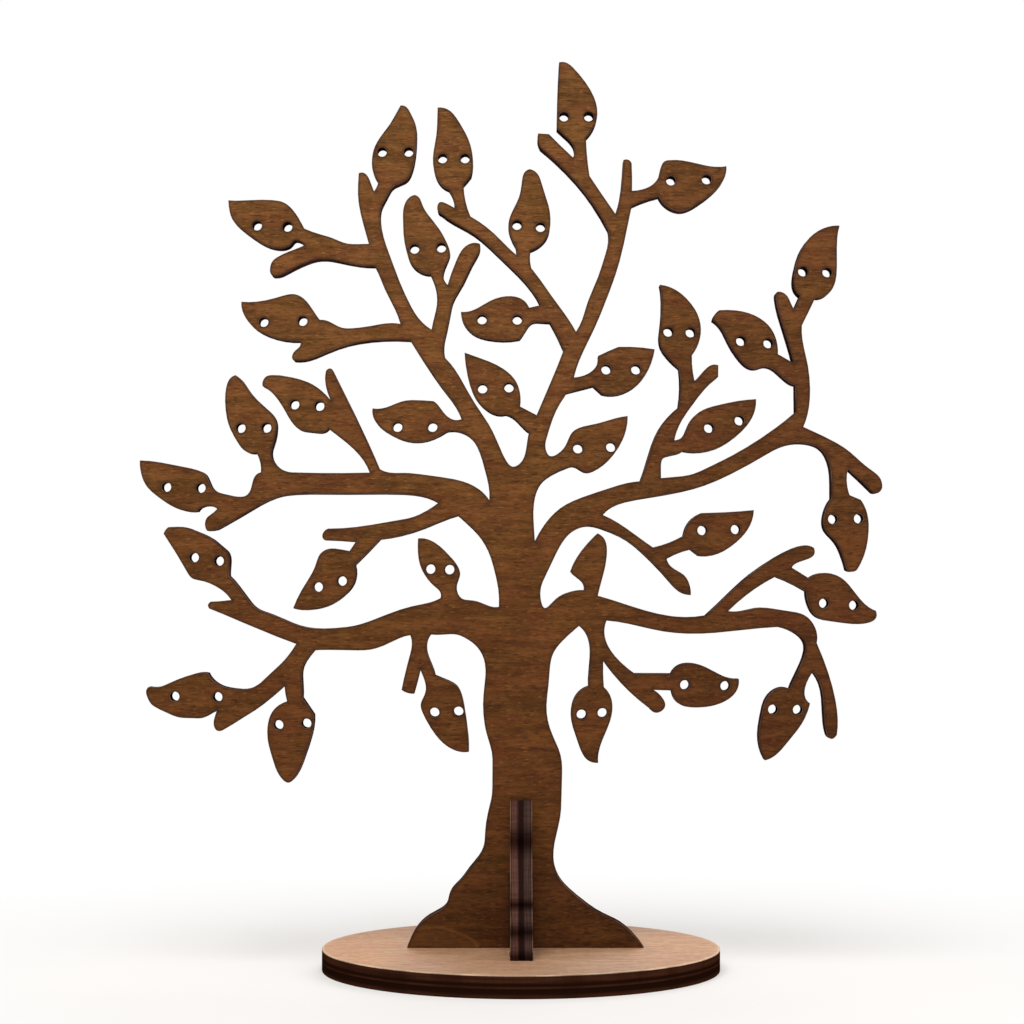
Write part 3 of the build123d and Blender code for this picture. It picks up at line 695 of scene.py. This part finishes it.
class NodeDesk:
    """Short hand for laying out a material's nodes."""

    def __init__(self, name):
        self.material = bpy.data.materials.new(name)
        self.material.use_nodes = True
        self.tree = self.material.node_tree
        self.shader = self.tree.nodes["Principled BSDF"]

    def feed(self, socket, value):
        """Gives an input a value, or a link where the value is a socket."""
        if isinstance(value, bpy.types.NodeSocket):
            self.tree.links.new(value, socket)
        else:
            socket.default_value = value

    def add(self, kind, inputs=None, **values):
        """A node with its properties set and its inputs fed."""
        node = self.tree.nodes.new(kind)
        for key, value in values.items():
            setattr(node, key, value)
        for key, value in (inputs or {}).items():
            self.feed(node.inputs[key], value)
        return node

    def place(self):
        """Object coordinates."""
        return self.add("ShaderNodeTexCoord").outputs["Object"]

    def axes(self):
        """Object coordinates parted into X, Y and Z."""
        return self.add("ShaderNodeSeparateXYZ", {"Vector": self.place()}).outputs

    def attribute(self, name):
        """The value of a point attribute."""
        return self.add("ShaderNodeAttribute", attribute_name=name).outputs["Fac"]

    def noise(self, scale, detail, rough, seed):
        """Noise over Object coordinates stretched by a scale for each axis, in features to the metre, and
        moved by the seed."""
        moved = {"Vector": self.place(), "Scale": scale, "Location": [seed * step for step in SEED_STEPS]}
        mapped = self.add("ShaderNodeMapping", moved).outputs["Vector"]
        values = {"Vector": mapped, "Scale": 1.0, "Detail": detail, "Roughness": rough, "Distortion": 0.0}
        return self.add("ShaderNodeTexNoise", values).outputs["Fac"]

    def stretch(self, socket, low, high, to_low=0.0, to_high=1.0):
        """The socket's range from low to high spread smoothly over to_low to to_high."""
        values = {"Value": socket, "From Min": low, "From Max": high, "To Min": to_low, "To Max": to_high}
        return self.add("ShaderNodeMapRange", values, interpolation_type="SMOOTHSTEP").outputs["Result"]

    def mix(self, share, first, second, blend="MIX"):
        """The first colour with a share of the second mixed in or multiplied on."""
        inputs = {0: share, 6: first, 7: second}
        return self.add("ShaderNodeMix", inputs, data_type="RGBA", blend_type=blend).outputs[2]

    def reckon(self, operation, first, second=0.0):
        """A value reckoned from one or two others."""
        return self.add("ShaderNodeMath", {0: first, 1: second}, operation=operation).outputs[0]

    def apart(self, socket, middle):
        """The socket's distance from a middle value."""
        return self.reckon("ABSOLUTE", self.reckon("SUBTRACT", socket, middle))

    def finish(self, tone, roughness, relief, bump, gloss):
        """Feeds the shader its colour, its roughness, a bump from a relief, and its gloss."""
        raised = self.add("ShaderNodeBump", {"Height": relief, **bump}).outputs["Normal"]
        for name, value in (("Base Color", tone), ("Roughness", roughness), ("Normal", raised)):
            self.feed(self.shader.inputs[name], value)
        self.shader.inputs["Specular IOR Level"].default_value = gloss
        return self.material


def axis_scale(axis, along, others):
    """A scale for each axis: one value along the given axis and another along the two others."""
    scale = [others, others, others]
    scale[axis] = along
    return tuple(scale)


def stained_veneer(name, tones, margin, shades):
    """Stained veneer: drifts of hue, clouds of deeper stain, mottled patches, growth bands, fibres, short
    pores and pale flecks along the grain, painted shade and light along the sheet's axes, and a margin
    beside its cuts."""
    sheet, finish = SHEETS[name], FINISHES[name]
    tones = {key: linear(tone) for key, tone in tones.items()}
    desk = NodeDesk(name + "_stained_veneer")
    grains = {
        grain: desk.noise(axis_scale(sheet["across"], along, across), *character)
        for grain, (along, across, *character) in VENEER_GRAINS.items()
    }
    tone = tones["mid"]
    for grain, low, high, share, coat in VENEER_COATS:
        tone = desk.mix(desk.stretch(grains[grain], low, high, 0.0, share), tone, tones[coat])
    axes = desk.axes()
    # Painted shade and light along the sheet's axes.
    for axis, full, gone, factors in shades:
        tone = desk.mix(desk.stretch(axes[axis], full, gone, 1.0, 0.0), tone, factors, "MULTIPLY")
    if name == "tree_panel":
        tone = root_figure(desk, tone, tones["light"])
    beside_cut = desk.reckon("MULTIPLY", desk.attribute("scorch"), finish["margin_share"])
    tone = desk.mix(beside_cut, tone, linear(margin))
    fibres = desk.reckon("MULTIPLY", grains["fibre"], FIBRE_RELIEF_SHARE)
    pores = desk.reckon("MULTIPLY", grains["pore"], PORE_RELIEF_SHARE)
    relief = desk.reckon("ADD", fibres, pores)
    roughness = desk.stretch(grains["fibre"], *VENEER_ROUGHNESS)
    return desk.finish(tone, roughness, relief, VENEER_BUMP, finish["gloss"])


def root_figure(desk, tone, light):
    """Pale arc of grain on the front face: r = length((place - middle) / half axes) with a waver, palest
    where r is the arc's radius and a little paler inside."""
    across, up = FIGURE_AXES
    moved = desk.add("ShaderNodeVectorMath", {0: desk.place(), 1: FIGURE_MIDDLE}, operation="SUBTRACT")
    shares = {0: moved.outputs["Vector"], 1: (1.0 / across, 0.0, 1.0 / up)}
    scaled = desk.add("ShaderNodeVectorMath", shares, operation="MULTIPLY").outputs["Vector"]
    radius = desk.add("ShaderNodeVectorMath", {0: scaled}, operation="LENGTH").outputs["Value"]
    waver = desk.reckon("MULTIPLY", desk.noise(*FIGURE_WAVER), FIGURE_WAVER_SHARE)
    radius = desk.reckon("ADD", radius, waver)
    front = desk.stretch(desk.attribute("layer"), 0.0, 1.0, 1.0, 0.0)
    within = desk.stretch(radius, *FIGURE_BORDER_SHARES, FIGURE_INSIDE_LIGHT_SHARE, 0.0)
    off_arc = desk.apart(radius, FIGURE_ARC_SHARE)
    on_arc = desk.stretch(off_arc, 0.0, FIGURE_ARC_HALF_SHARE, FIGURE_ARC_LIGHT_SHARE, 0.0)
    for share in (within, on_arc):
        tone = desk.mix(desk.reckon("MULTIPLY", share, front), tone, light)
    return tone


def charred_edge(name, plies, soot_colour, bars=()):
    """Charred cut edge: a colour for each ply by its depth share, char along the fibres, laser streaks
    across the plies, drifts of soot along the cut, and bars of painted shade at set heights."""
    sheet, finish = SHEETS[name], FINISHES[name]
    desk = NodeDesk(name + "_charred_edge")
    ramp = desk.add("ShaderNodeValToRGB", {"Fac": desk.attribute("layer")})
    stops = ramp.color_ramp.elements
    for share, _ in plies[2:]:
        stops.new(share)
    for stop, (share, colour) in zip(stops, plies):
        stop.position = share
        stop.color = linear(colour)
    grains = {
        grain: desk.noise(axis_scale(sheet["through"], through, along), *character)
        for grain, (along, through, *character) in EDGE_GRAINS.items()
    }
    tone = ramp.outputs["Color"]
    for grain, low, high in EDGE_CHARS:
        share = desk.stretch(grains[grain], low, high, 0.0, finish["char_shares"][grain])
        tone = desk.mix(share, tone, linear(soot_colour))
    # Painted shade in bars at set heights.
    for middle, half in bars:
        off_bar = desk.apart(desk.axes()["Z"], middle)
        tone = desk.mix(desk.stretch(off_bar, 0.0, half, 1.0, 0.0), tone, BAR_SHADE, "MULTIPLY")
    roughness = desk.stretch(grains["streak"], *EDGE_ROUGHNESS)
    return desk.finish(tone, roughness, grains["streak"], EDGE_BUMP, EDGE_GLOSS)


def upright_plies(edge):
    """Plies of an upright sheet's edge, front to back: rims, a warm ply, the core and a grey ply."""
    return [(share, getattr(edge, colour)) for share, colour in UPRIGHT_PLY_SHARES]


def turned_round(plies):
    """The plies in the opposite order."""
    return [(1.0 - share, colour) for share, colour in reversed(plies)]


def base_plies(edge, arris):
    """Plies of the base's edge, top to bottom: a painted highlight on the arris, then dark plies parted by
    paler lines, with a reddish foot."""
    stops = [(share, getattr(edge, colour)) for share, colour in BASE_PLY_SHARES]
    return [(0.0, arris), (ARRIS_SHARE, arris), *stops]


def tree_tones(stain):
    """Tones of the uprights' veneer."""
    return {"dark": stain.dark, "mid": stain.mid, "warm": stain.warm, "light": stain.light}


def base_tones(stain):
    """Tones of the base's veneer."""
    return {
        "dark": stain.base_dark, "mid": stain.base_mid, "warm": stain.base_warm, "light": stain.base_light,
    }


def dress(context, name, face, edge, seat=None):
    """Cuts a sheet and gives its faces the stain and its edges the char."""
    piece = cut_sheet(name, context.scene.jewelry_tree.sheet, seat)
    piece.data.materials.append(face)
    piece.data.materials.append(edge)
    return {"FINISHED"}


def seat_height():
    """Height under which the uprights stand on the base, a little over its top."""
    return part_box("round_base")[1][2] + SEAT_ROOM


class JEWELRYTREE_OT_tree_panel(bpy.types.Operator):
    """Cut the flat tree with its limbs, leaves and hanging holes"""

    bl_idname = "jewelry_tree.tree_panel"
    bl_label = "Tree Panel"

    def execute(self, context):
        stain, edge = context.scene.jewelry_tree.stain, context.scene.jewelry_tree.edge
        face = stained_veneer("tree_panel", tree_tones(stain), stain.scorch, UPRIGHT_PAINTED_SHADE)
        cut = charred_edge("tree_panel", upright_plies(edge), edge.core)
        return dress(context, "tree_panel", face, cut, seat_height())


class JEWELRYTREE_OT_root_brace(bpy.types.Operator):
    """Cut the root brace that crosses the trunk"""

    bl_idname = "jewelry_tree.root_brace"
    bl_label = "Root Brace"

    def execute(self, context):
        stain, edge = context.scene.jewelry_tree.stain, context.scene.jewelry_tree.edge
        face = stained_veneer("root_brace", tree_tones(stain), stain.scorch, UPRIGHT_PAINTED_SHADE)
        cut = charred_edge("root_brace", turned_round(upright_plies(edge)), edge.core, BRACE_SHADE_BARS)
        return dress(context, "root_brace", face, cut, seat_height())


class JEWELRYTREE_OT_round_base(bpy.types.Operator):
    """Cut the round base with its four mortises"""

    bl_idname = "jewelry_tree.round_base"
    bl_label = "Round Base"

    def execute(self, context):
        stain, edge = context.scene.jewelry_tree.stain, context.scene.jewelry_tree.edge
        # The base's margin along its rim is a painted highlight, the colour of the arris, and its sides take
        # painted light.
        face = stained_veneer("round_base", base_tones(stain), stain.base_arris_highlight, BASE_PAINTED_LIGHT)
        cut = charred_edge("round_base", base_plies(edge, stain.base_arris_highlight), edge.base_dark)
        return dress(context, "round_base", face, cut)


def pale_floor(stage):
    """Pale floor that keeps the shadow and turns white away from the tree where it is seen."""
    desk = NodeDesk("pale_floor")
    desk.shader.inputs["Base Color"].default_value = linear(stage.floor_colour)
    desk.shader.inputs["Roughness"].default_value = FLOOR_ROUGHNESS
    desk.shader.inputs["Specular IOR Level"].default_value = FLOOR_GLOSS
    distance = desk.add("ShaderNodeVectorMath", {0: desk.place()}, operation="LENGTH").outputs["Value"]
    far = desk.stretch(distance, FLOOR_WHITE_START, FLOOR_WHITE_FULL, FLOOR_WHITE_SHARE, 1.0)
    rays = desk.add("ShaderNodeLightPath").outputs
    seen = desk.reckon("MAXIMUM", rays["Is Camera Ray"], rays["Is Glossy Ray"])
    seen = desk.reckon("MAXIMUM", seen, rays["Is Transmission Ray"])
    share = desk.reckon("MULTIPLY", far, seen)
    white = desk.add("ShaderNodeEmission", {"Color": WHITE, "Strength": 1.0})
    blend = desk.add("ShaderNodeMixShader", {0: share, 1: desk.shader.outputs[0], 2: white.outputs[0]})
    desk.feed(desk.tree.nodes["Material Output"].inputs["Surface"], blend.outputs[0])
    return desk.material


def floor_disc(stage):
    """Flat ring grid of the floor: radius r = R s ** 2 and angle t over a grid of (s, t)."""
    radius = FLOOR_REACH * np.linspace(0.0, 1.0, FLOOR_RINGS + 1)[1:] ** 2
    angle = np.linspace(0.0, 2 * np.pi, FLOOR_SIDES, endpoint=False)
    grid = (FLOOR_RINGS, FLOOR_SIDES)
    across, along = np.outer(radius, np.cos(angle)), np.outer(radius, np.sin(angle))
    points = np.stack([across, along, np.zeros(grid)], axis=-1)
    points = np.concatenate([points.reshape(-1, 3), np.zeros((1, 3))])
    index = np.arange(FLOOR_RINGS * FLOOR_SIDES).reshape(grid)
    after = np.roll(index, -1, axis=1)
    quads = np.stack([index[:-1], index[1:], after[1:], after[:-1]], axis=-1).reshape(-1, 4)
    middle = np.stack([index[0], after[0], np.full(FLOOR_SIDES, FLOOR_RINGS * FLOOR_SIDES)], axis=-1)
    mesh = bpy.data.meshes.new("pale_floor")
    mesh.from_pydata(points.tolist(), [], middle.tolist() + quads.tolist())
    mesh.materials.append(pale_floor(stage))
    floor = bpy.data.objects.new("pale_floor", mesh)
    bpy.context.scene.collection.objects.link(floor)


def soft_light(name, place, aim, size, power):
    """Square area light at a place that faces an aim."""
    data = bpy.data.lights.new(name, "AREA")
    data.size = size
    data.energy = power
    lamp = bpy.data.objects.new(name, data)
    bpy.context.scene.collection.objects.link(lamp)
    lamp.location = place
    lamp.rotation_euler = (Vector(aim) - Vector(place)).to_track_quat("-Z", "Y").to_euler()


def surround(stage):
    """World: an even soft light, seen as white by the camera, in gloss and through what lets light pass."""
    world = bpy.data.worlds.new("studio_surround")
    bpy.context.scene.world = world
    world.use_nodes = True
    nodes = world.node_tree.nodes
    links = world.node_tree.links
    back = nodes["Background"]
    back.inputs["Color"].default_value = WHITE
    path = nodes.new("ShaderNodeLightPath")
    seen = path.outputs["Is Camera Ray"]
    for ray in ("Is Glossy Ray", "Is Transmission Ray"):
        either = nodes.new("ShaderNodeMath")
        either.operation = "MAXIMUM"
        links.new(seen, either.inputs[0])
        links.new(path.outputs[ray], either.inputs[1])
        seen = either.outputs[0]
    strength = nodes.new("ShaderNodeMapRange")
    links.new(seen, strength.inputs["Value"])
    strength.inputs["To Min"].default_value = stage.sky
    strength.inputs["To Max"].default_value = 1.0
    links.new(strength.outputs["Result"], back.inputs["Strength"])


def photograph_camera(stage):
    """Level camera at the lens row's height, its frame shifted so that the lens axis falls on its pixel."""
    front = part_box("tree_panel")[0][1]
    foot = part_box("round_base")[1][2]
    data = bpy.data.cameras.new("photograph_camera")
    data.sensor_fit = "HORIZONTAL"
    data.sensor_width = SENSOR_WIDTH
    data.lens = SENSOR_WIDTH * PIXELS_PER_MM * (stage.camera_distance / MM) / FRAME_PIXELS
    data.shift_x = (FRAME_PIXELS / 2 - stage.lens_column) / FRAME_PIXELS
    data.shift_y = (stage.lens_row - FRAME_PIXELS / 2) / FRAME_PIXELS
    data.clip_start = CLIP_START
    camera = bpy.data.objects.new("photograph_camera", data)
    bpy.context.scene.collection.objects.link(camera)
    across = (stage.lens_column - FOOT_PIXEL[0]) / PIXELS_PER_MM * MM
    height = foot + (FOOT_PIXEL[1] - stage.lens_row) / PIXELS_PER_MM * MM
    camera.location = (across, front - stage.camera_distance, height)
    camera.rotation_euler = (math.pi / 2, 0.0, 0.0)
    bpy.context.scene.camera = camera


class JEWELRYTREE_OT_stage(bpy.types.Operator):
    """Set the pale floor, the soft lights and the camera"""

    bl_idname = "jewelry_tree.stage"
    bl_label = "Stage"

    def execute(self, context):
        stage = context.scene.jewelry_tree.stage
        floor_disc(stage)
        surround(stage)
        for name, (place, aim, size, power) in SOFT_LIGHTS.items():
            soft_light(name, place, aim, size, getattr(stage, power))
        photograph_camera(stage)
        context.scene.view_settings.view_transform = "Standard"
        return {"FINISHED"}


class JEWELRYTREE_PT_panel(bpy.types.Panel):
    """Sidebar panel of the jewelry tree"""

    bl_idname = "JEWELRYTREE_PT_panel"
    bl_label = "Jewelry Tree"
    bl_space_type = "VIEW_3D"
    bl_region_type = "UI"
    bl_category = "Jewelry Tree"

    def draw(self, context):
        settings = context.scene.jewelry_tree
        for operator in OPERATORS:
            self.layout.operator(operator.bl_idname)
        for group in (settings.sheet, settings.stain, settings.edge, settings.stage):
            box = self.layout.box()
            for name in group.__annotations__:
                box.prop(group, name)


OPERATORS = (
    JEWELRYTREE_OT_round_base,
    JEWELRYTREE_OT_root_brace,
    JEWELRYTREE_OT_tree_panel,
    JEWELRYTREE_OT_stage,
)
CLASSES = (
    JewelryTreeSheetSettings,
    JewelryTreeStainSettings,
    JewelryTreeEdgeSettings,
    JewelryTreeStageSettings,
    JewelryTreeSettings,
    *OPERATORS,
    JEWELRYTREE_PT_panel,
)


def register():
    for item in CLASSES:
        bpy.utils.register_class(item)
    bpy.types.Scene.jewelry_tree = bpy.props.PointerProperty(type=JewelryTreeSettings)


def unregister():
    del bpy.types.Scene.jewelry_tree
    for item in reversed(CLASSES):
        bpy.utils.unregister_class(item)


def main():
    """Registers the add-on, and makes every piece and the stage."""
    register()
    bpy.ops.jewelry_tree.round_base()
    bpy.ops.jewelry_tree.root_brace()
    bpy.ops.jewelry_tree.tree_panel()
    bpy.ops.jewelry_tree.stage()


if __name__ == "__main__":
    main()
